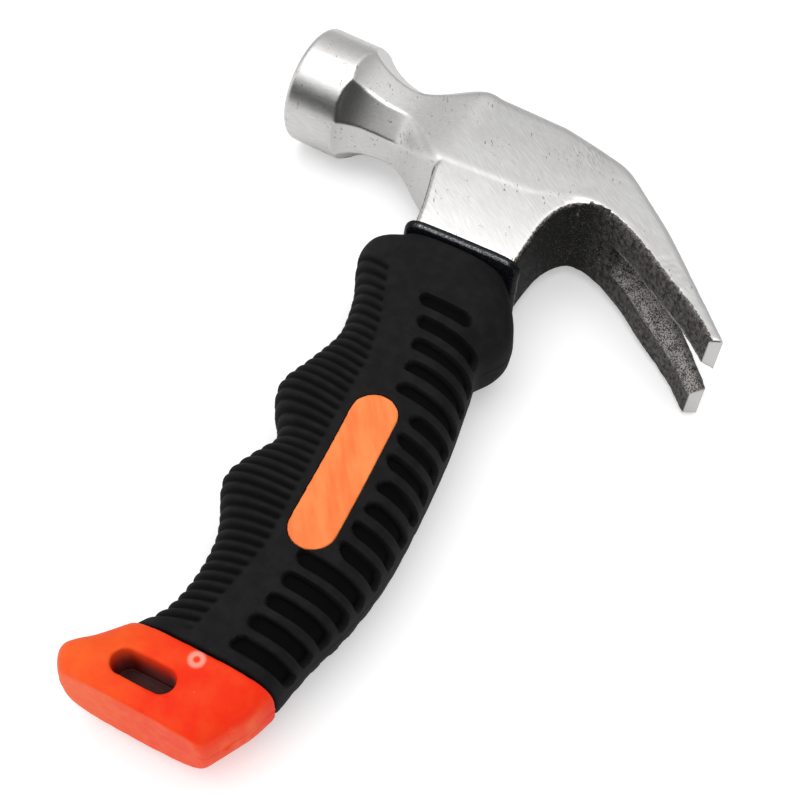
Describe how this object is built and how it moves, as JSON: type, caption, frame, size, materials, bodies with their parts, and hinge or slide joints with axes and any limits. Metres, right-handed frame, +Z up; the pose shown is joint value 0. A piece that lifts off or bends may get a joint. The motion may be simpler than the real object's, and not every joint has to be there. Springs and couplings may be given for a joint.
{
  "type": "claw hammer",
  "caption": "Stubby claw hammer with a forged steel head, a round bell, a slotted claw and a contoured soft grip over a plastic core with a hanging slot.",
  "frame": {"origin": "bottom centre of the whole hammer's box, with the hammer lying on its side", "axes": "+X from the striking face towards the claw, +Y from the butt towards the top of the head, +Z up through the upper cheek"},
  "size_m": [0.1042, 0.1498, 0.025],
  "materials": {
    "forged_steel": "ground and satin-brushed outside, black forging scale under the claw",
    "black_epoxy": "glossy cured resin",
    "fibreglass": "pultruded glass-fibre rod, matte",
    "orange_plastic": "moulded plastic, soft sheen",
    "black_rubber": "moulded soft grip, matte"
  },
  "bodies": {
    "root": {"claw_hammer_head": "forged_steel", "eye_epoxy": "black_epoxy", "core_rod": "fibreglass", "handle_core": "orange_plastic", "grip": "black_rubber"}
  },
  "joints": []
}
